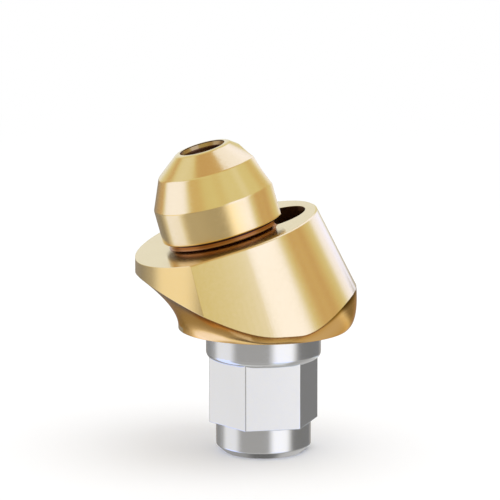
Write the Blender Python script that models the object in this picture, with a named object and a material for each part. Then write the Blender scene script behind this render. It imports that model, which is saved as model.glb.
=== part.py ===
"""Angled screw-retained abutment for a dental implant, one turned and milled piece of titanium.

Frame: the origin is where the implant axis meets the seat, +Z points up along that axis to the gum side,
and the screw cone leans towards -X. The hexagonal connection hangs below the seat.
"""

import math

import bmesh
import bpy
from mathutils import Matrix, Vector

MM = 0.001

# Seat and connection, all about the implant axis
SEAT_RADIUS = 2.19 * MM
STEM_RADIUS = 1.48 * MM
STEM_STRAIGHT_DEPTH = 0.62 * MM
STEM_ROUND_DEPTH = 0.18 * MM
STEM_ROUND_WIDTH = 0.20 * MM
HEX_ACROSS_FLATS = 2.473 * MM
HEX_DEPTH = 2.457 * MM
GUIDE_RADIUS = 1.225 * MM
GUIDE_DEPTH = 3.06 * MM
TIP_CHAMFER_WIDTH = 0.21 * MM
TIP_CHAMFER_DEPTH = 0.185 * MM

# Head axis: it leans from the implant axis, and crosses the seat plane beside it
LEAN_ANGLE = math.radians(15.8)
LEAN_TURN = math.radians(11.1)
HEAD_AXIS_OFFSET = 0.257 * MM

# Platform, square to the head axis, and the drafted collar below it
PLATFORM_HEIGHT = 2.593 * MM
PLATFORM_RADIUS = 2.385 * MM
PLATFORM_EDGE_ROUND = 0.03 * MM
COLLAR_DRAFT = math.radians(11.0)
COLLAR_TRIM_RADIUS = 3.285 * MM

# Height of the collar's lower edge above the seat, as a function of the distance towards its high side
EDGE_LOW_HEIGHT = 0.324 * MM
EDGE_LEAN_START = -0.206 * MM
EDGE_LEAN_SLOPE = 0.54
EDGE_LEAN_BEND = 0.617 * MM
EDGE_RISE_START = 0.385 * MM
EDGE_RISE_END = 2.44 * MM
EDGE_RISE = 0.763 * MM

# Shape of the underside between the seat's rim and that edge: two handles of a cubic curve, each as a
# share of the way out and a share of the way up, on the leaning side, at the flanks and on the high side
COVE_LEANING = ((-0.03, 0.27), (0.355, 0.60))
COVE_FLANK = ((0.12, 0.35), (0.55, 0.72))
COVE_HIGH = ((1.00, 0.10), (1.25, 0.50))

# Screw cone above the platform: heights above the platform and radii about the head axis
NECK_RADIUS = 1.45 * MM
NECK_FILLET = 0.08 * MM
NECK_HEIGHT = 0.19 * MM
CONE_RIM_HEIGHT = 0.221 * MM
CONE_RIM_RADIUS = 1.625 * MM
CONE_WIDE_HEIGHT = 1.054 * MM
CONE_WIDE_RADIUS = 1.619 * MM
CONE_SHOULDER_HEIGHT = 1.813 * MM
CONE_SHOULDER_RADIUS = 1.283 * MM
CONE_TOP_HEIGHT = 2.290 * MM
TOP_LAND_WIDTH = 0.02 * MM
TOP_ROUND_WIDTH = 0.15 * MM
TOP_ROUND_HEIGHT = 0.08 * MM

# Prosthetic screw's hole, down the head axis
BORE_RADIUS = 0.55 * MM
BORE_MOUTH_RADIUS = 0.588 * MM
BORE_DEPTH = 1.90 * MM
DRILL_POINT = math.radians(59.0)

# Abutment screw's channel: down the implant axis below, and leaning a little to the high side above, so that
# it spares the screw cone
CHANNEL_RADIUS = 0.905 * MM
CHANNEL_LEAN = math.radians(3.4)
CHANNEL_LEAN_START = 0.30 * MM
SHANK_RADIUS = 0.74 * MM
SCREW_SEAT_DEPTH = 0.55 * MM
SCREW_SEAT_SLOPE = math.radians(60.0)

SEGMENTS = 96
SPARE = 0.4 * MM
MERGE = 1e-7

LEAN = Vector((-math.cos(LEAN_TURN), -math.sin(LEAN_TURN), 0.0))
UPHILL = -LEAN
ACROSS = Vector((-UPHILL.y, UPHILL.x, 0.0))
HEAD_AXIS = LEAN * math.sin(LEAN_ANGLE) + Vector((0.0, 0.0, math.cos(LEAN_ANGLE)))
PLATFORM_CENTRE = LEAN * HEAD_AXIS_OFFSET + HEAD_AXIS * PLATFORM_HEIGHT
SLOPE_UP = UPHILL * math.cos(LEAN_ANGLE) + Vector((0.0, 0.0, math.sin(LEAN_ANGLE)))


def head_matrix():
    """Places +Z along the head axis and +X up the platform's slope, at the platform's centre."""
    matrix = Matrix((SLOPE_UP, ACROSS, HEAD_AXIS)).transposed().to_4x4()
    matrix.translation = PLATFORM_CENTRE
    return matrix


def arc(centre, across, up, start, end, steps):
    """Points (radius, height) on an ellipse about centre, between two angles in degrees."""
    points = []
    for i in range(steps + 1):
        angle = math.radians(start + (end - start) * i / steps)
        points.append((centre[0] + across * math.cos(angle), centre[1] + up * math.sin(angle)))
    return points


def metal(name, colour, roughness):
    material = bpy.data.materials.new(name)
    material.use_nodes = True
    shader = material.node_tree.nodes["Principled BSDF"]
    shader.inputs["Base Color"].default_value = (*colour, 1.0)
    shader.inputs["Metallic"].default_value = 1.0
    shader.inputs["Roughness"].default_value = roughness
    material.diffuse_color = (*colour, 1.0)
    return material


def add_object(name, mesh_builder, bare=False):
    """Turns a bmesh into an object, with its faces pointing out and its material slot set."""
    bmesh.ops.recalc_face_normals(mesh_builder, faces=mesh_builder.faces)
    for face in mesh_builder.faces:
        face.material_index = 1 if bare else 0
        face.smooth = True
    mesh = bpy.data.meshes.new(name)
    mesh_builder.to_mesh(mesh)
    mesh_builder.free()
    obj = bpy.data.objects.new(name, mesh)
    bpy.context.scene.collection.objects.link(obj)
    return obj


def turned(name, profile, matrix=None, bare=False):
    """Spins a profile of (radius, height) points, from the axis round to the axis again."""
    build = bmesh.new()
    points = [build.verts.new((radius, 0.0, height)) for radius, height in profile]
    edges = [build.edges.new(pair) for pair in zip(points, points[1:])]
    bmesh.ops.spin(
        build,
        geom=points + edges,
        cent=(0.0, 0.0, 0.0),
        axis=(0.0, 0.0, 1.0),
        angle=2.0 * math.pi,
        steps=SEGMENTS,
        use_merge=True,
    )
    bmesh.ops.remove_doubles(build, verts=build.verts, dist=MERGE)
    if matrix:
        bmesh.ops.transform(build, matrix=matrix, verts=build.verts)
    return add_object(name, build, bare)


def lofted(name, rings):
    """Joins closed rings of points, each with as many points as the last, and caps both ends."""
    build = bmesh.new()
    rows = [[build.verts.new(point) for point in ring] for ring in rings]
    count = len(rows[0])
    for lower, upper in zip(rows, rows[1:]):
        for i in range(count):
            j = (i + 1) % count
            build.faces.new((lower[i], lower[j], upper[j], upper[i]))
    build.faces.new(rows[0])
    build.faces.new(rows[-1])
    return add_object(name, build)


def side_radius(depth):
    """Half width of the drafted side, at a depth below the platform along the head axis."""
    return PLATFORM_RADIUS + depth * math.tan(COLLAR_DRAFT)


def side_outline(depth, inset, length):
    """A half circle on the high side, then straight flanks that run out on the leaning side."""
    radius = side_radius(depth) - inset
    points = []
    steps = SEGMENTS // 2
    for i in range(steps + 1):
        angle = math.pi * (i / steps - 0.5)
        points.append((radius * math.cos(angle), radius * math.sin(angle)))
    points.append((-length, radius))
    points.append((-length, -radius))
    matrix = head_matrix()
    return [matrix @ Vector((x, y, -depth)) for x, y in points]


def drafted_side():
    """The collar's side: the platform's outline, widening downwards by the draft."""
    length = COLLAR_TRIM_RADIUS + SPARE
    bottom = PLATFORM_HEIGHT + COLLAR_TRIM_RADIUS * math.sin(LEAN_ANGLE) + SPARE
    rings = [
        side_outline(0.0, PLATFORM_EDGE_ROUND, length),
        side_outline(PLATFORM_EDGE_ROUND, 0.0, length),
        side_outline(bottom, 0.0, length),
    ]
    return lofted("abutment_body", rings)


def edge_height(uphill):
    """Height of the collar's lower edge above the seat."""
    if uphill < EDGE_LEAN_START:
        reach = EDGE_LEAN_SLOPE * (uphill - EDGE_LEAN_START)
        return EDGE_LOW_HEIGHT + math.hypot(reach, EDGE_LEAN_BEND) - EDGE_LEAN_BEND
    share = (uphill - EDGE_RISE_START) / (EDGE_RISE_END - EDGE_RISE_START)
    share = min(max(share, 0.0), 1.0)
    return EDGE_LOW_HEIGHT + EDGE_RISE * share * share * (3.0 - 2.0 * share)


def outside_side(point):
    """How far a point lies outside the drafted side, or inside it where negative."""
    local = head_matrix().inverted() @ point
    width = math.hypot(local.x, local.y) if local.x > 0.0 else abs(local.y)
    return width - side_radius(-local.z)


def edge_radius(direction):
    """Distance from the implant axis to the collar's lower edge, in a level direction."""
    low = SEAT_RADIUS
    high = COLLAR_TRIM_RADIUS
    for _ in range(50):
        middle = 0.5 * (low + high)
        point = direction * middle
        point.z = edge_height(point.dot(UPHILL))
        if outside_side(point) > 0.0:
            high = middle
        else:
            low = middle
    return high


def blend(angle):
    """Handles of the cove at an angle from the leaning side."""
    leaning = max(math.cos(angle), 0.0) ** 2
    high = max(-math.cos(angle), 0.0) ** 2
    flank = 1.0 - leaning - high
    handles = []
    for a, b, c in zip(COVE_LEANING, COVE_FLANK, COVE_HIGH):
        handles.append([leaning * p + flank * q + high * s for p, q, s in zip(a, b, c)])
    return handles


def cove_point(share, handles):
    """Share of the way out and up, at a share along the cubic curve."""
    rest = 1.0 - share
    weights = (3.0 * rest * rest * share, 3.0 * rest * share * share, share**3)
    ends = (*handles, (1.0, 1.0))
    out = sum(weight * end[0] for weight, end in zip(weights, ends))
    up = sum(weight * end[1] for weight, end in zip(weights, ends))
    return out, up


def underside(steps=8):
    """All that lies above the seat and the cove, which flares from the seat's rim to the lower edge."""
    rows = [[] for _ in range(steps + 3)]
    for i in range(SEGMENTS):
        angle = 2.0 * math.pi * i / SEGMENTS
        direction = LEAN * math.cos(angle) + ACROSS * math.sin(angle)
        reach = edge_radius(direction)
        height = edge_height((direction * reach).dot(UPHILL))
        handles = blend(angle)
        for k in range(steps + 1):
            out, up = cove_point(k / steps, handles)
            point = direction * (SEAT_RADIUS + out * (reach - SEAT_RADIUS))
            point.z = up * height
            rows[k].append(point)
        steep = (1.0 - handles[1][1]) * height / max((1.0 - handles[1][0]) * (reach - SEAT_RADIUS), MERGE)
        beyond = direction * (reach + SPARE)
        beyond.z = height + SPARE * (min(steep, 1.0) if handles[1][0] < 1.0 else 1.0)
        rows[steps + 1].append(beyond)
        top = direction * (reach + SPARE)
        top.z = 2.0 * PLATFORM_HEIGHT
        rows[steps + 2].append(top)
    return lofted("underside_limit", rows)


def screw_cone():
    """The turned head, from inside the collar up to the land round the hole."""
    fillet = arc((NECK_RADIUS + NECK_FILLET, NECK_FILLET), NECK_FILLET, NECK_FILLET, 255.0, 180.0, 4)
    land = BORE_MOUTH_RADIUS + TOP_LAND_WIDTH
    top_round = arc((land, CONE_TOP_HEIGHT - TOP_ROUND_HEIGHT), TOP_ROUND_WIDTH, TOP_ROUND_HEIGHT, 30.0, 90.0, 4)
    profile = [
        (0.0, -PLATFORM_HEIGHT / 2),
        (NECK_RADIUS + NECK_FILLET, -PLATFORM_HEIGHT / 2),
        *fillet,
        (NECK_RADIUS, NECK_HEIGHT),
        (CONE_RIM_RADIUS - (CONE_RIM_HEIGHT - NECK_HEIGHT), NECK_HEIGHT),
        (CONE_RIM_RADIUS, CONE_RIM_HEIGHT),
        (CONE_WIDE_RADIUS, CONE_WIDE_HEIGHT),
        (CONE_SHOULDER_RADIUS, CONE_SHOULDER_HEIGHT),
        *top_round,
        (0.0, CONE_TOP_HEIGHT),
    ]
    return turned("screw_cone", profile, head_matrix())


def stem():
    """The turned connection: a locating shoulder, a guide cylinder and a chamfered tip."""
    straight_end = -STEM_STRAIGHT_DEPTH
    rounded = arc(
        (STEM_RADIUS - STEM_ROUND_WIDTH, straight_end), STEM_ROUND_WIDTH, STEM_ROUND_DEPTH, 0.0, -90.0, 6
    )
    tip = -(GUIDE_DEPTH + TIP_CHAMFER_DEPTH)
    profile = [
        (0.0, SPARE),
        (STEM_RADIUS, SPARE),
        *rounded,
        (GUIDE_RADIUS, straight_end - STEM_ROUND_DEPTH),
        (GUIDE_RADIUS, -GUIDE_DEPTH),
        (GUIDE_RADIUS - TIP_CHAMFER_WIDTH, tip),
        (0.0, tip),
    ]
    return turned("stem", profile, bare=True)


def hexagon():
    """The driving hexagon between shoulder and tip, with a corner on the leaning side."""
    build = bmesh.new()
    bmesh.ops.create_circle(
        build, cap_ends=True, segments=6, radius=HEX_ACROSS_FLATS / math.sqrt(3.0)
    )
    top = -STEM_STRAIGHT_DEPTH / 2
    grown = bmesh.ops.extrude_face_region(build, geom=build.faces[:])
    lower = [item for item in grown["geom"] if isinstance(item, bmesh.types.BMVert)]
    bmesh.ops.translate(build, vec=(0.0, 0.0, -HEX_DEPTH - top), verts=lower)
    bmesh.ops.translate(build, vec=(0.0, 0.0, top), verts=build.verts)
    corner = build.verts[:][0].co
    turn = math.atan2(LEAN.y, LEAN.x) - math.atan2(corner.y, corner.x)
    bmesh.ops.rotate(build, cent=(0.0, 0.0, 0.0), matrix=Matrix.Rotation(turn, 3, "Z"), verts=build.verts)
    return add_object("hexagon", build, bare=True)


def trim_cylinder():
    """The vertical cylinder that the collar is turned to on its leaning side."""
    profile = [
        (0.0, -SPARE),
        (COLLAR_TRIM_RADIUS, -SPARE),
        (COLLAR_TRIM_RADIUS, 2.0 * PLATFORM_HEIGHT),
        (0.0, 2.0 * PLATFORM_HEIGHT),
    ]
    return turned("trim_cylinder", profile)


def channel_ring(radius, height):
    """A level circle about the channel's axis, which leans above the start of its lean."""
    shift = UPHILL * max(height - CHANNEL_LEAN_START, 0.0) * math.tan(CHANNEL_LEAN)
    points = []
    for i in range(SEGMENTS):
        angle = 2.0 * math.pi * (i + 0.5) / SEGMENTS
        point = shift + UPHILL * radius * math.cos(angle) + ACROSS * radius * math.sin(angle)
        point.z = height
        points.append(point)
    return points


def screw_channel():
    """The stepped hole for the abutment screw, open from the collar's top to the tip."""
    seat_top = -SCREW_SEAT_DEPTH
    seat_bottom = seat_top - (CHANNEL_RADIUS - SHANK_RADIUS) / math.tan(SCREW_SEAT_SLOPE)
    rings = [
        channel_ring(SHANK_RADIUS, -(GUIDE_DEPTH + TIP_CHAMFER_DEPTH + SPARE)),
        channel_ring(SHANK_RADIUS, seat_bottom),
        channel_ring(CHANNEL_RADIUS, seat_top),
        channel_ring(CHANNEL_RADIUS, CHANNEL_LEAN_START),
        channel_ring(CHANNEL_RADIUS, PLATFORM_HEIGHT + CONE_TOP_HEIGHT + SPARE),
    ]
    return lofted("screw_channel", rings)


def screw_bore():
    """The prosthetic screw's hole, with its lead-in and its drilled end."""
    above = CONE_TOP_HEIGHT + SPARE
    lead = BORE_MOUTH_RADIUS - BORE_RADIUS
    end = CONE_TOP_HEIGHT - BORE_DEPTH
    profile = [
        (0.0, end - BORE_RADIUS / math.tan(DRILL_POINT)),
        (BORE_RADIUS, end),
        (BORE_RADIUS, CONE_TOP_HEIGHT - lead),
        (BORE_MOUTH_RADIUS + SPARE, above),
        (0.0, above),
    ]
    return turned("screw_bore", profile, head_matrix())


def combine(body, helper, operation):
    """Joins, cuts or limits the body with a helper, which stays out of the render."""
    helper.hide_render = True
    helper.display_type = "WIRE"
    change = body.modifiers.new(helper.name, "BOOLEAN")
    change.operation = operation
    change.solver = "EXACT"
    change.object = helper


def build():
    for obj in list(bpy.data.objects):
        bpy.data.objects.remove(obj)
    body = drafted_side()
    body.data.materials.append(metal("nitride_gold", (0.80, 0.55, 0.24), 0.22))
    body.data.materials.append(metal("bare_titanium", (0.66, 0.66, 0.67), 0.25))
    combine(body, trim_cylinder(), "INTERSECT")
    combine(body, underside(), "INTERSECT")
    combine(body, screw_cone(), "UNION")
    combine(body, stem(), "UNION")
    combine(body, hexagon(), "UNION")
    combine(body, screw_channel(), "DIFFERENCE")
    combine(body, screw_bore(), "DIFFERENCE")


build()
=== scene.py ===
"""Dressed abutment: the coated head and collar and the bare connection, in finer meshes than the solid's,
with their metals, the studio round them and the camera. All lengths are in metres, in the frame's axes.
"""

import math

import bmesh
import bpy
from mathutils import Matrix, Vector


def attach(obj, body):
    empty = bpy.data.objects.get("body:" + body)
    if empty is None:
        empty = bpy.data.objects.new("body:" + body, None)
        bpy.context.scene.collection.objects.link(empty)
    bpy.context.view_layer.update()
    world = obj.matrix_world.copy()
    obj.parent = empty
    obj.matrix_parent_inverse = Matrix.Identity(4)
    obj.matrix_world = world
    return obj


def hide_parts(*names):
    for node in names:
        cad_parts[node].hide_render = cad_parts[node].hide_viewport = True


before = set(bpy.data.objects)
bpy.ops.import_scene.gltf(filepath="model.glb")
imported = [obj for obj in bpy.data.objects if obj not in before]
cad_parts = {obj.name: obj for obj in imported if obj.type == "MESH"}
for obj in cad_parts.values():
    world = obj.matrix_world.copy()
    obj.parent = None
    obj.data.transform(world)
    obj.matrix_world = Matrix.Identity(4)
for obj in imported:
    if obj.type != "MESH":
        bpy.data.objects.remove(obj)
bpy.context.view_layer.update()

MM = 0.001

# Seat and connection, all about the implant axis
SEAT_RADIUS = 2.19 * MM
STEM_RADIUS = 1.48 * MM
STEM_STRAIGHT_DEPTH = 0.62 * MM
STEM_ROUND_DEPTH = 0.18 * MM
STEM_ROUND_WIDTH = 0.20 * MM
HEX_ACROSS_FLATS = 2.473 * MM
HEX_DEPTH = 2.457 * MM
GUIDE_RADIUS = 1.225 * MM
GUIDE_DEPTH = 3.06 * MM
TIP_CHAMFER_WIDTH = 0.21 * MM
TIP_CHAMFER_DEPTH = 0.185 * MM

# Head axis: it leans from the implant axis, and crosses the seat plane beside it
LEAN_ANGLE = math.radians(15.8)
LEAN_TURN = math.radians(11.1)
HEAD_AXIS_OFFSET = 0.257 * MM

# Platform, square to the head axis, and the drafted collar below it
PLATFORM_HEIGHT = 2.593 * MM
PLATFORM_RADIUS = 2.385 * MM
PLATFORM_EDGE_ROUND = 0.03 * MM
COLLAR_DRAFT = math.radians(11.0)
COLLAR_TRIM_RADIUS = 3.285 * MM

# Height of the collar's lower edge above the seat, as a function of the distance towards its high side
EDGE_LOW_HEIGHT = 0.324 * MM
EDGE_LEAN_START = -0.206 * MM
EDGE_LEAN_SLOPE = 0.54
EDGE_LEAN_BEND = 0.617 * MM
EDGE_RISE_START = 0.385 * MM
EDGE_RISE_END = 2.44 * MM
EDGE_RISE = 0.763 * MM

# Shape of the underside between the seat's rim and that edge: two handles of a cubic curve, each as a
# share of the way out and a share of the way up, on the leaning side, at the flanks and on the high side
COVE_LEANING = ((-0.03, 0.27), (0.355, 0.60))
COVE_FLANK = ((0.12, 0.35), (0.55, 0.72))
COVE_HIGH = ((1.00, 0.10), (1.25, 0.50))

# Screw cone above the platform: heights above the platform and radii about the head axis
NECK_RADIUS = 1.45 * MM
NECK_FILLET = 0.08 * MM
NECK_HEIGHT = 0.19 * MM
CONE_RIM_HEIGHT = 0.221 * MM
CONE_RIM_RADIUS = 1.625 * MM
CONE_WIDE_HEIGHT = 1.054 * MM
CONE_WIDE_RADIUS = 1.619 * MM
CONE_SHOULDER_HEIGHT = 1.813 * MM
CONE_SHOULDER_RADIUS = 1.283 * MM
CONE_TOP_HEIGHT = 2.290 * MM
TOP_LAND_WIDTH = 0.02 * MM
TOP_ROUND_WIDTH = 0.15 * MM
TOP_ROUND_HEIGHT = 0.08 * MM

# Prosthetic screw's hole, down the head axis
BORE_RADIUS = 0.55 * MM
BORE_MOUTH_RADIUS = 0.588 * MM
BORE_DEPTH = 1.90 * MM
DRILL_POINT = math.radians(59.0)

# Abutment screw's channel: down the implant axis below, and leaning a little to the high side above, so
# that it spares the screw cone
CHANNEL_RADIUS = 0.905 * MM
CHANNEL_LEAN = math.radians(3.4)
CHANNEL_LEAN_START = 0.30 * MM
SHANK_RADIUS = 0.74 * MM
SCREW_SEAT_DEPTH = 0.55 * MM
SCREW_SEAT_SLOPE = math.radians(60.0)

# The thread and the mouth of the screw's hole. The thread's crests lie a share of its depth inside the
# bore's radius, and the rest of it outside.
THREAD_PITCH = 0.30 * MM
THREAD_DEPTH = 0.075 * MM
THREAD_INSIDE = 0.35
THREAD_ROWS_IN_PITCH = 10
THREAD_STEPS = 64
LEAD_IN_DEPTH = 0.11 * MM
LEAD_IN_FOOT = 0.3
MOUTH_STEP = 0.022 * MM
MOUTH_STEP_SLOPE = 0.2

# Eased edges. A turned corner flatter than EASE_FROM is left, a round takes at most a share of the lines
# beside it, and a point just beyond the round, at EASE_SUPPORT of its reach, keeps their shading flat.
EDGE_EASE = 0.022 * MM
EASE_STEPS = 4
EASE_FROM = math.radians(14.0)
EASE_SHARE = 0.4
EASE_SUPPORT = 1.2
SMOOTH_BELOW = math.radians(24.0)

# The flanks turn in by FLANK_CROWN times the square of the distance along them
FLANK_CROWN = 0.017 / MM
FLANK_STEPS = 24
COVE_STEPS = 20
ARC_STEPS = 8
SEGMENTS = 256

# Helpers for the Booleans reach SPARE beyond what they cut. Points closer than MERGE are one, and a
# point within TOUCH of a surface is on it.
SPARE = 0.4 * MM
MERGE = 1e-7
TOUCH = 0.001 * MM

UP = Vector((0.0, 0.0, 1.0))
LEAN = Vector((-math.cos(LEAN_TURN), -math.sin(LEAN_TURN), 0.0))
UPHILL = -LEAN
ACROSS = Vector((-UPHILL.y, UPHILL.x, 0.0))
HEAD_AXIS = LEAN * math.sin(LEAN_ANGLE) + UP * math.cos(LEAN_ANGLE)
PLATFORM_CENTRE = LEAN * HEAD_AXIS_OFFSET + HEAD_AXIS * PLATFORM_HEIGHT
SLOPE_UP = UPHILL * math.cos(LEAN_ANGLE) + UP * math.sin(LEAN_ANGLE)

# Places +Z along the head axis and +X up the platform's slope, at the platform's centre
HEAD = Matrix((SLOPE_UP, ACROSS, HEAD_AXIS)).transposed().to_4x4()
HEAD.translation = PLATFORM_CENTRE
TO_HEAD = HEAD.inverted()

# Metals: colour where clean, colour where worn, and roughness. The first of each piece is its open
# surface, and faces in its other places are picked by coated_metal and bare_metal. These others are copies
# of it with painted shade in the holes, on the lead-in, in the groove and under the rim, and with painted
# light and shade on the underside.
COATED_METALS = {
    "nitride_gold": ((0.82, 0.61, 0.28), (0.78, 0.56, 0.24), 0.19),
    # painted shade: a dark copy of the gold on the walls of the screw's hole and the channel
    "nitride_gold_painted_shade_in_holes": ((0.20, 0.10, 0.045), (0.14, 0.06, 0.03), 0.34),
    # painted shade: a dark reddish copy of the gold in the groove under the screw cone
    "nitride_gold_painted_shade_in_groove": ((0.39, 0.16, 0.040), (0.30, 0.11, 0.028), 0.22),
    # painted deep shade: a near-black copy of the gold under the rim and on the step at the hole's mouth
    "nitride_gold_painted_deep_shade": ((0.06, 0.022, 0.018), (0.04, 0.015, 0.012), 0.30),
    # painted light and shade: a brighter copy of the gold for the underside, darkened close under the
    # collar's edge
    "nitride_gold_underside_painted_light_and_shade": ((0.93, 0.61, 0.26), (0.86, 0.54, 0.22), 0.18),
    # painted shade: a darker copy of the gold on the lead-in of the screw's hole
    "nitride_gold_painted_shade_in_lead": ((0.47, 0.31, 0.12), (0.42, 0.27, 0.10), 0.24),
}
BARE_METALS = {
    "bare_titanium": ((0.69, 0.68, 0.665), (0.655, 0.645, 0.63), 0.17),
    # painted shade: a dark copy of the titanium on the channel's wall
    "bare_titanium_painted_shade_in_hole": ((0.20, 0.20, 0.21), (0.15, 0.15, 0.16), 0.35),
}
# Painted shade: the neck is painted dark from this height up, and the underside darker close under the
# collar's lower edge, over SHADE_REACH where that edge is twice as high as at its lowest. The underside
# has its own colour at grazing angles.
PAINTED_SHADE_NECK_HEIGHT = 0.125 * MM
SHADE_REACH = 0.17 * MM
SHADE_COLOUR = (0.17, 0.08, 0.03, 1.0)
GRAZING_COLOUR = (0.76, 0.55, 0.32, 1.0)
DOWNWARD_BELOW = 0.5

# Patterns in the metals: their scales per millimetre, the spread of the roughness, and the bumps
CLOUD_SCALE = 0.9
GRAIN_SCALE = 14.0
MARKS_SCALE = 22.0
GLOSS_FROM = (0.3, 0.7)
GLOSS_SPREAD = (-0.03, 0.04)
MARKS_STRENGTH = 0.10
GRAIN_STRENGTH = 0.05
BUMP_HEIGHT = 0.004 * MM
EDGE_SAMPLES = 6

# The light tent: what the metal reflects. Each band of elevation has its lowest elevation, its base level
# and its cloth panels of (azimuth, half width, change of level). Azimuth 0 is towards the camera and grows
# to its right, in degrees.
TENT_RADIUS = 0.30
TENT_COLUMNS = 240
TENT_ROWS = 120
TENT_BANDS = (
    (-90.0, 0.74, ((180.0, 62.0, -0.58), (-85.0, 24.0, 0.16))),
    (
        -62.0,
        0.52,
        ((-98.0, 26.0, 0.54), (-155.0, 18.0, -0.12), (140.0, 30.0, 0.12), (40.0, 22.0, 0.40)),
    ),
    (
        -26.0,
        0.60,
        ((-90.0, 25.0, 0.55), (-156.0, 28.0, -0.32), (143.0, 26.0, 0.34), (41.0, 24.0, 0.60)),
    ),
    (
        -4.0,
        0.80,
        (
            (39.0, 21.5, 0.48),
            (-87.0, 26.0, 0.39),
            (-126.0, 7.0, -0.12),
            (-165.0, 18.0, 0.12),
            (-44.0, 12.0, -0.05),
            (90.0, 17.0, -0.06),
            (79.0, 2.5, -0.08),
            (96.0, 2.5, -0.10),
            (142.0, 18.0, 0.35),
        ),
    ),
    (
        30.0,
        0.83,
        (
            (-105.0, 14.0, 0.08),
            (3.0, 10.0, -0.04),
            (56.0, 7.0, 0.08),
            (108.0, 12.0, -0.06),
            (148.0, 14.0, 0.40),
            (-165.0, 14.0, 0.02),
        ),
    ),
    (58.0, 0.74, ((146.0, 34.0, 0.42), (-88.0, 30.0, -0.06))),
)
BAND_SOFT = 6.0
PANEL_SOFT = 15.0
# Just below the horizon, where the upright metal looks, lies a band of neutral cloth, a little warm behind
MIDDLE_CENTRE = -12.75
MIDDLE_HALF = 7.75
MIDDLE_BASE = 0.48
MIDDLE_PANELS = ((42.0, 24.0, 0.92), (-87.0, 24.0, 0.62), (-155.0, 24.0, -0.14), (113.0, 39.0, -0.23))
MIDDLE_SOFT = 20.0
MIDDLE_WARM = (1.00, 0.93, 0.85)
WARM_CENTRE = 180.0
WARM_HALF = 24.0
# Tint of the cloth at a level: warm where it is dim, cool where it is bright. Below the neutral band only
# bright cloth is tinted, more and more between two levels.
WHITE = (1.0, 1.0, 1.0)
CLOTH_TINTS = (
    (0.32, (1.00, 0.72, 0.54)),
    (0.60, (1.00, 0.77, 0.55)),
    (0.70, (1.00, 0.79, 0.54)),
    (0.77, (1.00, 0.92, 0.64)),
    (0.80, (1.00, 1.02, 0.76)),
    (0.84, (1.00, 1.07, 0.88)),
    (0.95, (1.00, 1.12, 1.35)),
    (1.10, (1.00, 1.17, 1.95)),
    (1.25, (1.00, 1.19, 2.15)),
)
LOW_TINT_FROM = 0.75
LOW_TINT_TO = 0.95

# Studio: the floor turns to plain white away from the part, and one lamp gives it the soft shadow
FLOOR_RADIUS = 1.5
FLOOR_GAP = 0.002 * MM
FLOOR_COLOUR = (0.98, 0.98, 0.98, 1.0)
FLOOR_ROUGHNESS = 0.9
FLOOR_WHITE_FROM = 12.0 * MM
FLOOR_WHITE_TO = 60.0 * MM
LAMP_PLACE = (0.05, -0.04, 0.16)
LAMP_SIZE = 0.16
LAMP_POWER = 0.05
WORLD_STRENGTH = 0.98

# Camera, fitted to the photo's outline
SENSOR_WIDTH = 36.0
CAMERA_LENS = 225.24
CAMERA_SHIFT = -0.02704
CAMERA_NEAR = 1.0 * MM
CAMERA_DISTANCE = 80.421 * MM
CAMERA_ELEVATION = math.radians(12.19)
CAMERA_TILT = math.radians(79.21)


def clamped(share):
    return min(max(share, 0.0), 1.0)


def smooth_step(share):
    """0 to 1 with a soft start and end, and level beyond them."""
    share = clamped(share)
    return share * share * (3.0 - 2.0 * share)


def mixed(first, second, share):
    return [a + (b - a) * share for a, b in zip(first, second)]


def add_object(name, build):
    """Turns a bmesh into an object."""
    mesh = bpy.data.meshes.new(name)
    build.to_mesh(mesh)
    build.free()
    obj = bpy.data.objects.new(name, mesh)
    bpy.context.scene.collection.objects.link(obj)
    return obj


def add_solid(name, build):
    """Turns a closed bmesh into an object with its faces pointing out."""
    bmesh.ops.recalc_face_normals(build, faces=build.faces)
    return add_object(name, build)


def eased(profile):
    """The same profile with each clear corner off the axis replaced by a small round."""
    points = [profile[0]]
    for last, here, following in zip(profile, profile[1:], profile[2:]):
        corner = Vector(here)
        back = Vector(last) - corner
        on = Vector(following) - corner
        if math.pi - back.angle(on) < EASE_FROM or here[0] < MERGE:
            points.append(here)
            continue
        reach = min(EDGE_EASE, EASE_SHARE * back.length, EASE_SHARE * on.length)
        start = corner + back.normalized() * reach
        end = corner + on.normalized() * reach
        points.append((corner + back.normalized() * reach * EASE_SUPPORT)[:])
        for i in range(EASE_STEPS + 1):
            share = i / EASE_STEPS
            rest = 1.0 - share
            points.append((start * rest * rest + corner * 2.0 * rest * share + end * share * share)[:])
        points.append((corner + on.normalized() * reach * EASE_SUPPORT)[:])
    points.append(profile[-1])
    return points


def turned(name, profile, matrix=None):
    """Spins a profile of (radius, height) points, from the axis round to the axis again."""
    build = bmesh.new()
    points = [build.verts.new((radius, 0.0, height)) for radius, height in profile]
    edges = [build.edges.new(pair) for pair in zip(points, points[1:])]
    bmesh.ops.spin(
        build,
        geom=points + edges,
        cent=(0.0, 0.0, 0.0),
        axis=UP,
        angle=2.0 * math.pi,
        steps=SEGMENTS,
        use_merge=True,
    )
    bmesh.ops.remove_doubles(build, verts=build.verts, dist=MERGE)
    if matrix:
        bmesh.ops.transform(build, matrix=matrix, verts=build.verts)
    return add_solid(name, build)


def join_rows(build, rows):
    """Faces between rows of vertices, each closed on itself and with as many vertices as the last."""
    for lower, upper in zip(rows, rows[1:]):
        for i in range(len(lower)):
            j = (i + 1) % len(lower)
            build.faces.new((lower[i], lower[j], upper[j], upper[i]))


def lofted(name, rings):
    """Joins closed rings of points, each with as many points as the last, and caps both ends."""
    build = bmesh.new()
    rows = [[build.verts.new(point) for point in ring] for ring in rings]
    join_rows(build, rows)
    build.faces.new(rows[0])
    build.faces.new(rows[-1])
    return add_solid(name, build)


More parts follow.
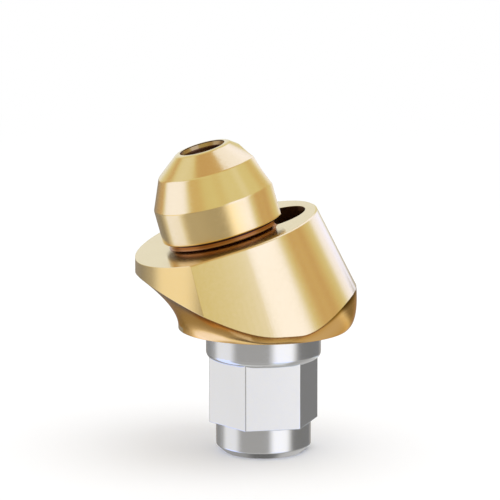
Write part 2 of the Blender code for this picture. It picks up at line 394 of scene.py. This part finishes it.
def arc(centre, across, up, start, end, steps=ARC_STEPS):
    """Points (radius, height) on an ellipse about centre, between two angles in degrees."""
    points = []
    for i in range(steps + 1):
        angle = math.radians(start + (end - start) * i / steps)
        points.append((centre[0] + across * math.cos(angle), centre[1] + up * math.sin(angle)))
    return points


def side_radius(depth):
    """Half width of the drafted side, at a depth below the platform along the head axis."""
    return PLATFORM_RADIUS + depth * math.tan(COLLAR_DRAFT)


def side_outline(depth, inset, length):
    """A half circle on the high side, then slightly crowned flanks that run out on the leaning side."""
    radius = side_radius(depth) - inset
    points = []
    steps = SEGMENTS // 2
    for i in range(steps + 1):
        angle = math.pi * (i / steps - 0.5)
        points.append((radius * math.cos(angle), radius * math.sin(angle)))
    flank = []
    for i in range(1, FLANK_STEPS + 1):
        back = length * i / FLANK_STEPS
        flank.append((-back, radius - FLANK_CROWN * back * back))
    points += flank
    points += [(x, -y) for x, y in reversed(flank)]
    return [HEAD @ Vector((x, y, -depth)) for x, y in points]


def drafted_side():
    """The collar's side: the platform's outline, widening downwards by the draft."""
    length = COLLAR_TRIM_RADIUS + SPARE
    bottom = PLATFORM_HEIGHT + COLLAR_TRIM_RADIUS * math.sin(LEAN_ANGLE) + SPARE
    rings = [
        side_outline(0.0, PLATFORM_EDGE_ROUND, length),
        side_outline(PLATFORM_EDGE_ROUND, 0.0, length),
        side_outline(bottom, 0.0, length),
    ]
    return lofted("drafted_side", rings)


def edge_height(uphill):
    """Height of the collar's lower edge above the seat."""
    if uphill < EDGE_LEAN_START:
        reach = EDGE_LEAN_SLOPE * (uphill - EDGE_LEAN_START)
        return EDGE_LOW_HEIGHT + math.hypot(reach, EDGE_LEAN_BEND) - EDGE_LEAN_BEND
    share = (uphill - EDGE_RISE_START) / (EDGE_RISE_END - EDGE_RISE_START)
    return EDGE_LOW_HEIGHT + EDGE_RISE * smooth_step(share)


def outside_side(point):
    """How far a point lies outside the drafted side, or inside it where negative."""
    local = TO_HEAD @ point
    if local.x > 0.0:
        width = math.hypot(local.x, local.y)
    else:
        width = abs(local.y) + FLANK_CROWN * local.x * local.x
    return width - side_radius(-local.z)


def edge_radius(direction):
    """Distance from the implant axis to the collar's lower edge, in a level direction."""
    low = SEAT_RADIUS
    high = COLLAR_TRIM_RADIUS
    for _ in range(50):
        middle = 0.5 * (low + high)
        point = direction * middle
        point.z = edge_height(point.dot(UPHILL))
        if outside_side(point) > 0.0:
            high = middle
        else:
            low = middle
    return high


def cove_handles(angle):
    """Handles of the cove at an angle from the leaning side."""
    leaning = max(math.cos(angle), 0.0) ** 2
    high = max(-math.cos(angle), 0.0) ** 2
    flank = 1.0 - leaning - high
    handles = []
    for a, b, c in zip(COVE_LEANING, COVE_FLANK, COVE_HIGH):
        handles.append([leaning * p + flank * q + high * s for p, q, s in zip(a, b, c)])
    return handles


def cove_point(share, handles):
    """Share of the way out and up, at a share along the cubic curve."""
    rest = 1.0 - share
    weights = (3.0 * rest * rest * share, 3.0 * rest * share * share, share**3)
    ends = (*handles, (1.0, 1.0))
    out = sum(weight * end[0] for weight, end in zip(weights, ends))
    up = sum(weight * end[1] for weight, end in zip(weights, ends))
    return out, up


def underside():
    """All that lies above the seat and the cove, which flares from the seat's rim to the lower edge."""
    rings = [[] for _ in range(COVE_STEPS + 3)]
    for i in range(SEGMENTS):
        angle = 2.0 * math.pi * i / SEGMENTS
        direction = LEAN * math.cos(angle) + ACROSS * math.sin(angle)
        reach = edge_radius(direction)
        height = edge_height((direction * reach).dot(UPHILL))
        handles = cove_handles(angle)
        for k in range(COVE_STEPS + 1):
            out, up = cove_point(k / COVE_STEPS, handles)
            point = direction * (SEAT_RADIUS + out * (reach - SEAT_RADIUS))
            point.z = up * height
            rings[k].append(point)
        # Beyond the edge, the limit goes on as steeply as the cove arrives, but at 45 degrees at most
        last_out, last_up = handles[1]
        steep = 1.0
        if last_out < 1.0:
            run = max((1.0 - last_out) * (reach - SEAT_RADIUS), MERGE)
            steep = min((1.0 - last_up) * height / run, 1.0)
        beyond = direction * (reach + SPARE)
        rings[-2].append(beyond + UP * (height + SPARE * steep))
        rings[-1].append(beyond + UP * 2.0 * PLATFORM_HEIGHT)
    return lofted("underside_limit", rings)


def trim_cylinder():
    """The vertical cylinder that the collar is turned to on its leaning side."""
    profile = [
        (0.0, -SPARE),
        (COLLAR_TRIM_RADIUS, -SPARE),
        (COLLAR_TRIM_RADIUS, 2.0 * PLATFORM_HEIGHT),
        (0.0, 2.0 * PLATFORM_HEIGHT),
    ]
    return turned("trim_cylinder", profile)


def channel_centre(height):
    """Where the channel's axis is at a height above the seat, as a level shift from the implant axis."""
    return UPHILL * max(height - CHANNEL_LEAN_START, 0.0) * math.tan(CHANNEL_LEAN)


def channel_ring(radius, height):
    """A level circle about the channel's axis."""
    points = []
    for i in range(SEGMENTS):
        angle = 2.0 * math.pi * (i + 0.5) / SEGMENTS
        point = channel_centre(height) + radius * (UPHILL * math.cos(angle) + ACROSS * math.sin(angle))
        point.z = height
        points.append(point)
    return points


def platform_ring(lower, upper):
    """Where the straight lines between two rings cross the platform's plane."""
    ring = []
    for a, b in zip(lower, upper):
        low = (TO_HEAD @ a).z
        high = (TO_HEAD @ b).z
        ring.append(a.lerp(b, -low / (high - low)))
    return ring


def screw_channel():
    """The stepped hole for the abutment screw, open from the collar's top to the tip."""
    seat_top = -SCREW_SEAT_DEPTH
    seat_bottom = seat_top - (CHANNEL_RADIUS - SHANK_RADIUS) / math.tan(SCREW_SEAT_SLOPE)
    lean_start = channel_ring(CHANNEL_RADIUS, CHANNEL_LEAN_START)
    above = channel_ring(CHANNEL_RADIUS, PLATFORM_HEIGHT + CONE_TOP_HEIGHT + SPARE)
    rings = [
        channel_ring(SHANK_RADIUS, -(GUIDE_DEPTH + TIP_CHAMFER_DEPTH + SPARE)),
        channel_ring(SHANK_RADIUS, seat_bottom),
        channel_ring(CHANNEL_RADIUS, seat_top),
        lean_start,
        platform_ring(lean_start, above),
        above,
    ]
    return lofted("screw_channel", rings)


def screw_cone():
    """The turned head, from inside the collar up to the land round the hole, with its edges eased."""
    fillet_radius = NECK_RADIUS + NECK_FILLET
    land_radius = BORE_MOUTH_RADIUS + TOP_LAND_WIDTH
    round_centre = (land_radius, CONE_TOP_HEIGHT - TOP_ROUND_HEIGHT)
    profile = [
        (0.0, -PLATFORM_HEIGHT / 2),
        (fillet_radius, -PLATFORM_HEIGHT / 2),
        *arc((fillet_radius, NECK_FILLET), NECK_FILLET, NECK_FILLET, 255.0, 180.0),
        (NECK_RADIUS, PAINTED_SHADE_NECK_HEIGHT),
        (NECK_RADIUS, NECK_HEIGHT),
        (CONE_RIM_RADIUS - (CONE_RIM_HEIGHT - NECK_HEIGHT), NECK_HEIGHT),
        (CONE_RIM_RADIUS, CONE_RIM_HEIGHT),
        (CONE_WIDE_RADIUS, CONE_WIDE_HEIGHT),
        (CONE_SHOULDER_RADIUS, CONE_SHOULDER_HEIGHT),
        *arc(round_centre, TOP_ROUND_WIDTH, TOP_ROUND_HEIGHT, 30.0, 90.0),
        (0.0, CONE_TOP_HEIGHT),
    ]
    return turned("screw_cone", eased(profile), HEAD)


def stem():
    """The turned connection: a locating shoulder, a guide cylinder and a chamfered tip."""
    straight_end = -STEM_STRAIGHT_DEPTH
    round_centre = (STEM_RADIUS - STEM_ROUND_WIDTH, straight_end)
    tip = -(GUIDE_DEPTH + TIP_CHAMFER_DEPTH)
    profile = [
        (0.0, 0.0),
        (STEM_RADIUS, 0.0),
        *arc(round_centre, STEM_ROUND_WIDTH, STEM_ROUND_DEPTH, 0.0, -90.0, 12),
        (GUIDE_RADIUS, straight_end - STEM_ROUND_DEPTH),
        (GUIDE_RADIUS, -GUIDE_DEPTH),
        (GUIDE_RADIUS - TIP_CHAMFER_WIDTH, tip),
        (0.0, tip),
    ]
    return turned("stem", eased(profile))


def hexagon():
    """The driving hexagon between shoulder and tip, with a corner on the leaning side and broken edges."""
    build = bmesh.new()
    corner_radius = HEX_ACROSS_FLATS / math.sqrt(3.0)
    bmesh.ops.create_circle(build, cap_ends=True, segments=6, radius=corner_radius)
    top = -STEM_STRAIGHT_DEPTH / 2
    grown = bmesh.ops.extrude_face_region(build, geom=build.faces[:])
    lower = [item for item in grown["geom"] if isinstance(item, bmesh.types.BMVert)]
    bmesh.ops.translate(build, vec=(0.0, 0.0, -HEX_DEPTH - top), verts=lower)
    bmesh.ops.translate(build, vec=(0.0, 0.0, top), verts=build.verts)
    corner = build.verts[:][0].co
    turn = math.atan2(LEAN.y, LEAN.x) - math.atan2(corner.y, corner.x)
    rotation = Matrix.Rotation(turn, 3, "Z")
    bmesh.ops.rotate(build, cent=(0.0, 0.0, 0.0), matrix=rotation, verts=build.verts)
    bmesh.ops.bevel(
        build, geom=build.edges[:], offset=EDGE_EASE, segments=3, profile=0.5, affect="EDGES"
    )
    return add_solid("hexagon", build)


def thread_radius(height, angle):
    """Radius of the threaded wall. The thread fades out over one pitch at either end."""
    start = CONE_TOP_HEIGHT - LEAD_IN_DEPTH
    end = CONE_TOP_HEIGHT - BORE_DEPTH
    fade = clamped(min(start - height, height - end) / THREAD_PITCH)
    turn = (height / THREAD_PITCH - angle / (2.0 * math.pi)) % 1.0
    tooth = abs(2.0 * turn - 1.0)
    return BORE_RADIUS + THREAD_DEPTH * fade * (tooth - THREAD_INSIDE)


def screw_bore():
    """The prosthetic screw's hole, with its lead-in, its drilled end and the thread cut in its wall."""
    mouth = CONE_TOP_HEIGHT
    start = mouth - LEAD_IN_DEPTH
    end = mouth - BORE_DEPTH
    foot_radius = BORE_RADIUS + LEAD_IN_FOOT * (BORE_MOUTH_RADIUS - BORE_RADIUS)
    angles = [2.0 * math.pi * i / THREAD_STEPS for i in range(THREAD_STEPS)]
    plain = [
        (mouth + SPARE, BORE_MOUTH_RADIUS + SPARE),
        (mouth, BORE_MOUTH_RADIUS),
        (mouth - MOUTH_STEP, BORE_MOUTH_RADIUS - MOUTH_STEP_SLOPE * MOUTH_STEP),
        (start, foot_radius),
    ]
    rings = [(height, [radius] * THREAD_STEPS) for height, radius in plain]
    count = round((start - end) / THREAD_PITCH * THREAD_ROWS_IN_PITCH)
    for i in range(1, count):
        height = start + (end - start) * i / count
        rings.append((height, [thread_radius(height, angle) for angle in angles]))
    rings.append((end, [BORE_RADIUS] * THREAD_STEPS))

    build = bmesh.new()
    rows = []
    for height, radii in rings:
        points = [(r * math.cos(angle), r * math.sin(angle), height) for r, angle in zip(radii, angles)]
        rows.append([build.verts.new(HEAD @ Vector(point)) for point in points])
    join_rows(build, rows)
    build.faces.new(rows[0])
    tip = build.verts.new(HEAD @ Vector((0.0, 0.0, end - BORE_RADIUS / math.tan(DRILL_POINT))))
    for i in range(THREAD_STEPS):
        build.faces.new((rows[-1][i], rows[-1][(i + 1) % THREAD_STEPS], tip))
    return add_solid("screw_bore", build)


def place_on_head(point):
    """Distance from the head axis, and height above the platform."""
    local = TO_HEAD @ point
    return math.hypot(local.x, local.y), local.z


def in_hole(point):
    """Whether a point of the surface is on the wall of the screw's hole or of the channel."""
    across, height = place_on_head(point)
    if across < BORE_RADIUS + THREAD_DEPTH and height < CONE_TOP_HEIGHT - LEAD_IN_DEPTH + TOUCH:
        return True
    centre = channel_centre(point.z)
    from_axis = math.hypot(point.x - centre.x, point.y - centre.y)
    return from_axis < CHANNEL_RADIUS + 2.0 * TOUCH and height < 2.0 * TOUCH


def in_lead(point):
    """Whether a point is on the lead-in of the screw's hole."""
    across, height = place_on_head(point)
    return across < BORE_MOUTH_RADIUS + TOUCH and height < CONE_TOP_HEIGHT + TOUCH


def on_mouth_step(point):
    """Whether a point on the lead-in is on the step at the hole's mouth."""
    return place_on_head(point)[1] > CONE_TOP_HEIGHT - MOUTH_STEP - TOUCH


def in_groove(point):
    """Whether a point is in the groove under the screw cone."""
    across, height = place_on_head(point)
    return -TOUCH < height < CONE_RIM_HEIGHT - 4.0 * TOUCH and across < CONE_RIM_RADIUS


def under_rim(point):
    """Whether a point in the groove is on the upper part of the neck or on the rim's lower side, which get
    painted deep shade.
    """
    return place_on_head(point)[1] > PAINTED_SHADE_NECK_HEIGHT - TOUCH


def in_cove(point):
    """Whether a point is on the underside, between the seat's rim and the collar's lower edge."""
    edge = edge_height(point.dot(UPHILL))
    return math.hypot(point.x, point.y) > SEAT_RADIUS - TOUCH and point.z < edge + 2.0 * TOUCH


def all_points(face, test):
    return all(test(vertex.co) for vertex in face.verts)


def coated_metal(face):
    """Which of the coated body's metals a face has: its open gold, or a copy with painted shade or painted
    light.
    """
    # The walls of the holes get painted shade.
    if all_points(face, in_hole):
        return "nitride_gold_painted_shade_in_holes"
    # The lead-in gets painted shade, and the step at the hole's mouth painted deep shade.
    if all_points(face, in_lead):
        step = all_points(face, on_mouth_step)
        return "nitride_gold_painted_deep_shade" if step else "nitride_gold_painted_shade_in_lead"
    # The groove gets painted shade, and the neck's upper part and the rim's lower side painted deep shade.
    if all_points(face, in_groove):
        dark = all_points(face, under_rim)
        return "nitride_gold_painted_deep_shade" if dark else "nitride_gold_painted_shade_in_groove"
    # The underside gets its brighter copy with painted light, and painted shade under the edge.
    if face.normal.z < DOWNWARD_BELOW and all_points(face, in_cove):
        return "nitride_gold_underside_painted_light_and_shade"
    return "nitride_gold"


def bare_metal(face):
    """Which of the connection's metals a face has: bare titanium, or a dark copy with painted shade in the
    hole.
    """
    return "bare_titanium_painted_shade_in_hole" if all_points(face, in_hole) else "bare_titanium"


def combined(body, helpers):
    """A new mesh of the body after its Booleans with the helpers, all of which are then removed."""
    for helper, operation in helpers:
        change = body.modifiers.new(helper.name, "BOOLEAN")
        change.operation = operation
        change.solver = "EXACT"
        change.object = helper
    bpy.context.view_layer.update()
    graph = bpy.context.evaluated_depsgraph_get()
    mesh = bpy.data.meshes.new_from_object(body.evaluated_get(graph))
    for obj in (body, *(helper for helper, _ in helpers)):
        bpy.data.objects.remove(obj)
    return mesh


def settle(mesh, materials, pick_metal):
    """Gives each face its metal, keeps clear edges sharp and removes slivers."""
    names = list(materials)
    mesh.materials.clear()
    for material in materials.values():
        mesh.materials.append(material)
    build = bmesh.new()
    build.from_mesh(mesh)
    bmesh.ops.remove_doubles(build, verts=build.verts, dist=MERGE)
    bmesh.ops.dissolve_degenerate(build, edges=build.edges, dist=MERGE)
    for face in build.faces:
        face.smooth = True
        face.material_index = names.index(pick_metal(face))
    for edge in build.edges:
        edge.smooth = edge.calc_face_angle(math.pi) < SMOOTH_BELOW
    build.to_mesh(mesh)
    build.free()


def shade_under_edge(mesh):
    """Stores at each point how much painted shade it gets close under the collar's lower edge."""
    shade = mesh.attributes.new("edge_shade", "FLOAT", "POINT")
    for vertex in mesh.vertices:
        edge = edge_height(vertex.co.dot(UPHILL))
        reach = SHADE_REACH * edge / (2.0 * EDGE_LOW_HEIGHT)
        shade.data[vertex.index].value = smooth_step(1.0 - (edge - vertex.co.z) / reach)


def add_piece(name, mesh):
    mesh.name = name
    piece = bpy.data.objects.new(name, mesh)
    bpy.context.scene.collection.objects.link(piece)
    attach(piece, "root")
    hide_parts("abutment_body")
    return piece


def node(tree, kind, values=None, **settings):
    """A new node with its settings, and then the values of its inputs."""
    made = tree.nodes.new(kind)
    for key, value in settings.items():
        setattr(made, key, value)
    for key, value in (values or {}).items():
        made.inputs[key].default_value = value
    return made


def metal(name, look, axis):
    """A turned metal: fine rings about an axis, faint clouds in colour and gloss, and eased edges."""
    colour, worn, roughness = look
    material = bpy.data.materials.new(name)
    material.use_nodes = True
    tree = material.node_tree
    link = tree.links.new
    shader = tree.nodes["Principled BSDF"]
    shader.inputs["Metallic"].default_value = 1.0
    place = node(tree, "ShaderNodeTexCoord")
    millimetres = node(tree, "ShaderNodeVectorMath", {"Scale": 1.0 / MM}, operation="SCALE")
    link(place.outputs["Object"], millimetres.inputs[0])

    clouds = node(tree, "ShaderNodeTexNoise", {"Scale": CLOUD_SCALE, "Detail": 3.0})
    link(millimetres.outputs[0], clouds.inputs["Vector"])
    tint = node(tree, "ShaderNodeMix", {"A": (*colour, 1.0), "B": (*worn, 1.0)}, data_type="RGBA")
    link(clouds.outputs["Fac"], tint.inputs["Factor"])
    # The underside's copy has painted shade: its colour darkens towards SHADE_COLOUR close under the
    # collar's lower edge.
    if name == "nitride_gold_underside_painted_light_and_shade":
        shader.inputs["Specular Tint"].default_value = GRAZING_COLOUR
        shade = node(tree, "ShaderNodeAttribute", attribute_name="edge_shade")
        darker = node(tree, "ShaderNodeMix", {"B": SHADE_COLOUR}, data_type="RGBA")
        link(tint.outputs["Result"], darker.inputs["A"])
        link(shade.outputs["Fac"], darker.inputs["Factor"])
        tint = darker
    link(tint.outputs["Result"], shader.inputs["Base Color"])

    grain = node(tree, "ShaderNodeTexNoise", {"Scale": GRAIN_SCALE, "Detail": 4.0})
    link(millimetres.outputs[0], grain.inputs["Vector"])
    spread = {
        "From Min": GLOSS_FROM[0],
        "From Max": GLOSS_FROM[1],
        "To Min": roughness + GLOSS_SPREAD[0],
        "To Max": roughness + GLOSS_SPREAD[1],
    }
    gloss = node(tree, "ShaderNodeMapRange", spread)
    link(grain.outputs["Fac"], gloss.inputs["Value"])
    link(gloss.outputs["Result"], shader.inputs["Roughness"])

    along = node(tree, "ShaderNodeVectorMath", {1: axis}, operation="DOT_PRODUCT")
    link(millimetres.outputs[0], along.inputs[0])
    rings = {"Scale": MARKS_SCALE, "Detail": 2.0}
    lines = node(tree, "ShaderNodeTexNoise", rings, noise_dimensions="1D")
    link(along.outputs["Value"], lines.inputs["W"])
    soft_edge = node(tree, "ShaderNodeBevel", {"Radius": EDGE_EASE}, samples=EDGE_SAMPLES)
    normal = soft_edge.outputs["Normal"]
    for pattern, strength in ((lines, MARKS_STRENGTH), (grain, GRAIN_STRENGTH)):
        bump = node(tree, "ShaderNodeBump", {"Strength": strength, "Distance": BUMP_HEIGHT})
        link(pattern.outputs["Fac"], bump.inputs["Height"])
        link(normal, bump.inputs["Normal"])
        normal = bump.outputs["Normal"]
    link(normal, shader.inputs["Normal"])
    return material


def coated_body():
    helpers = [
        (trim_cylinder(), "INTERSECT"),
        (underside(), "INTERSECT"),
        (screw_cone(), "UNION"),
        (screw_channel(), "DIFFERENCE"),
        (screw_bore(), "DIFFERENCE"),
    ]
    mesh = combined(drafted_side(), helpers)
    axes = dict.fromkeys(COATED_METALS, HEAD_AXIS) | {"nitride_gold_underside_painted_light_and_shade": UP}
    materials = {name: metal(name, look, axes[name]) for name, look in COATED_METALS.items()}
    settle(mesh, materials, coated_metal)
    shade_under_edge(mesh)
    add_piece("abutment_coated_body", mesh)


def connection():
    helpers = [(hexagon(), "UNION"), (screw_channel(), "DIFFERENCE")]
    mesh = combined(stem(), helpers)
    materials = {name: metal(name, look, UP) for name, look in BARE_METALS.items()}
    settle(mesh, materials, bare_metal)
    piece = add_piece("abutment_connection", mesh)
    weighted = piece.modifiers.new("weighted_normals", "WEIGHTED_NORMAL")
    weighted.keep_sharp = True


def turn_from(azimuth, centre):
    """Signed turn from one azimuth to another, from -180 to 180 degrees."""
    return (azimuth - centre + 180.0) % 360.0 - 180.0


def window(offset, half, soft):
    """1 inside a half width, falling smoothly to 0 over the soft border."""
    return smooth_step((half + soft / 2 - abs(offset)) / soft)


def band_level(azimuth, base, panels, soft):
    """Level of a band at an azimuth: its base and what its panels add to it."""
    for centre, half, change in panels:
        base += change * window(turn_from(azimuth, centre), half, soft)
    return base


def cloth_tint(level):
    """Tint at a level, between the two nearest entries."""
    for (low, first), (high, second) in zip(CLOTH_TINTS, CLOTH_TINTS[1:]):
        if level <= high:
            return mixed(first, second, clamped((level - low) / (high - low)))
    return CLOTH_TINTS[-1][1]


def tent_colour(azimuth, elevation):
    """Light that comes from a direction: tinted cloth, and neutral cloth where the upright metal looks."""
    level = band_level(azimuth, *TENT_BANDS[0][1:], PANEL_SOFT)
    for lowest, base, panels in TENT_BANDS[1:]:
        share = clamped((elevation - lowest) / BAND_SOFT + 0.5)
        level += share * (band_level(azimuth, base, panels, PANEL_SOFT) - level)
    tint = cloth_tint(level)
    if elevation < MIDDLE_CENTRE:
        tint = mixed(WHITE, tint, clamped((level - LOW_TINT_FROM) / (LOW_TINT_TO - LOW_TINT_FROM)))
    middle = band_level(azimuth, MIDDLE_BASE, MIDDLE_PANELS, MIDDLE_SOFT)
    behind = window(turn_from(azimuth, WARM_CENTRE), WARM_HALF, PANEL_SOFT)
    neutral = window(elevation - MIDDLE_CENTRE, MIDDLE_HALF, BAND_SOFT)
    cloth = [level * part for part in tint]
    middle_cloth = [middle * part for part in mixed(WHITE, MIDDLE_WARM, behind)]
    return mixed(cloth, middle_cloth, neutral)


def light_tent():
    """A sphere of lit cloth that only reflections see."""
    build = bmesh.new()
    bmesh.ops.create_uvsphere(
        build, u_segments=TENT_COLUMNS, v_segments=TENT_ROWS, radius=TENT_RADIUS
    )
    bmesh.ops.reverse_faces(build, faces=build.faces)
    tent = add_object("light_tent", build)
    cloth = tent.data.attributes.new("cloth", "FLOAT_COLOR", "POINT")
    for vertex in tent.data.vertices:
        x, y, z = vertex.co
        azimuth = math.degrees(math.atan2(x, -y))
        elevation = math.degrees(math.asin(max(-1.0, min(1.0, z / TENT_RADIUS))))
        cloth.data[vertex.index].color = (*tent_colour(azimuth, elevation), 1.0)
    material = bpy.data.materials.new("tent_cloth")
    material.use_nodes = True
    tree = material.node_tree
    tree.nodes.clear()
    colour = node(tree, "ShaderNodeAttribute", attribute_name="cloth")
    glow = node(tree, "ShaderNodeEmission")
    out = node(tree, "ShaderNodeOutputMaterial")
    tree.links.new(colour.outputs["Color"], glow.inputs["Color"])
    tree.links.new(glow.outputs["Emission"], out.inputs["Surface"])
    material.cycles.emission_sampling = "NONE"
    tent.data.materials.append(material)
    tent.visible_camera = False
    tent.visible_diffuse = False
    tent.visible_transmission = False
    tent.visible_shadow = False


def studio_floor():
    """Pale paper that turns to plain white away from the part, unseen in reflections."""
    build = bmesh.new()
    bmesh.ops.create_circle(build, cap_ends=True, segments=64, radius=FLOOR_RADIUS)
    floor = add_object("studio_floor", build)
    floor.location.z = -(GUIDE_DEPTH + TIP_CHAMFER_DEPTH) - FLOOR_GAP
    paper = bpy.data.materials.new("floor_paper")
    paper.use_nodes = True
    tree = paper.node_tree
    link = tree.links.new
    shader = tree.nodes["Principled BSDF"]
    shader.inputs["Base Color"].default_value = FLOOR_COLOUR
    shader.inputs["Roughness"].default_value = FLOOR_ROUGHNESS
    shader.inputs["Specular IOR Level"].default_value = 0.0
    place = node(tree, "ShaderNodeTexCoord")
    away = node(tree, "ShaderNodeVectorMath", operation="LENGTH")
    link(place.outputs["Object"], away.inputs[0])
    border = {"From Min": FLOOR_WHITE_FROM, "From Max": FLOOR_WHITE_TO}
    far = node(tree, "ShaderNodeMapRange", border, interpolation_type="SMOOTHSTEP")
    link(away.outputs["Value"], far.inputs["Value"])
    white = node(tree, "ShaderNodeEmission")
    mix = node(tree, "ShaderNodeMixShader")
    link(far.outputs["Result"], mix.inputs["Fac"])
    link(shader.outputs["BSDF"], mix.inputs[1])
    link(white.outputs["Emission"], mix.inputs[2])
    link(mix.outputs["Shader"], tree.nodes["Material Output"].inputs["Surface"])
    floor.data.materials.append(paper)
    floor.visible_glossy = False


def lamp():
    """A soft lamp over the part, unseen in reflections."""
    data = bpy.data.lights.new("overhead_softbox", "AREA")
    data.shape = "DISK"
    data.size = LAMP_SIZE
    data.energy = LAMP_POWER
    softbox = bpy.data.objects.new("overhead_softbox", data)
    softbox.location = LAMP_PLACE
    softbox.rotation_euler = (-softbox.location).to_track_quat("-Z", "Y").to_euler()
    softbox.visible_glossy = False
    bpy.context.scene.collection.objects.link(softbox)


def white_world():
    """A world that lights plainly and is pure white to the camera, to reflections and through glass."""
    world = bpy.data.worlds.new("studio_world")
    bpy.context.scene.world = world
    world.use_nodes = True
    tree = world.node_tree
    link = tree.links.new
    background = tree.nodes["Background"]
    background.inputs["Color"].default_value = (1.0, 1.0, 1.0, 1.0)
    path = node(tree, "ShaderNodeLightPath")
    seen = path.outputs["Is Camera Ray"]
    for ray in ("Is Glossy Ray", "Is Transmission Ray"):
        either = node(tree, "ShaderNodeMath", operation="MAXIMUM")
        link(seen, either.inputs[0])
        link(path.outputs[ray], either.inputs[1])
        seen = either.outputs["Value"]
    strength = node(tree, "ShaderNodeMapRange", {"To Min": WORLD_STRENGTH, "To Max": 1.0})
    link(seen, strength.inputs["Value"])
    link(strength.outputs["Result"], background.inputs["Strength"])


def camera():
    data = bpy.data.cameras.new("photo_camera")
    data.sensor_width = SENSOR_WIDTH
    data.lens = CAMERA_LENS
    data.clip_start = CAMERA_NEAR
    data.shift_x = CAMERA_SHIFT
    view = bpy.data.objects.new("photo_camera", data)
    back = CAMERA_DISTANCE * math.cos(CAMERA_ELEVATION)
    view.location = (0.0, -back, CAMERA_DISTANCE * math.sin(CAMERA_ELEVATION))
    view.rotation_euler = (CAMERA_TILT, 0.0, 0.0)
    bpy.context.scene.collection.objects.link(view)
    bpy.context.scene.camera = view


coated_body()
connection()
light_tent()
studio_floor()
lamp()
white_world()
camera()
bpy.context.scene.view_settings.view_transform = "Standard"
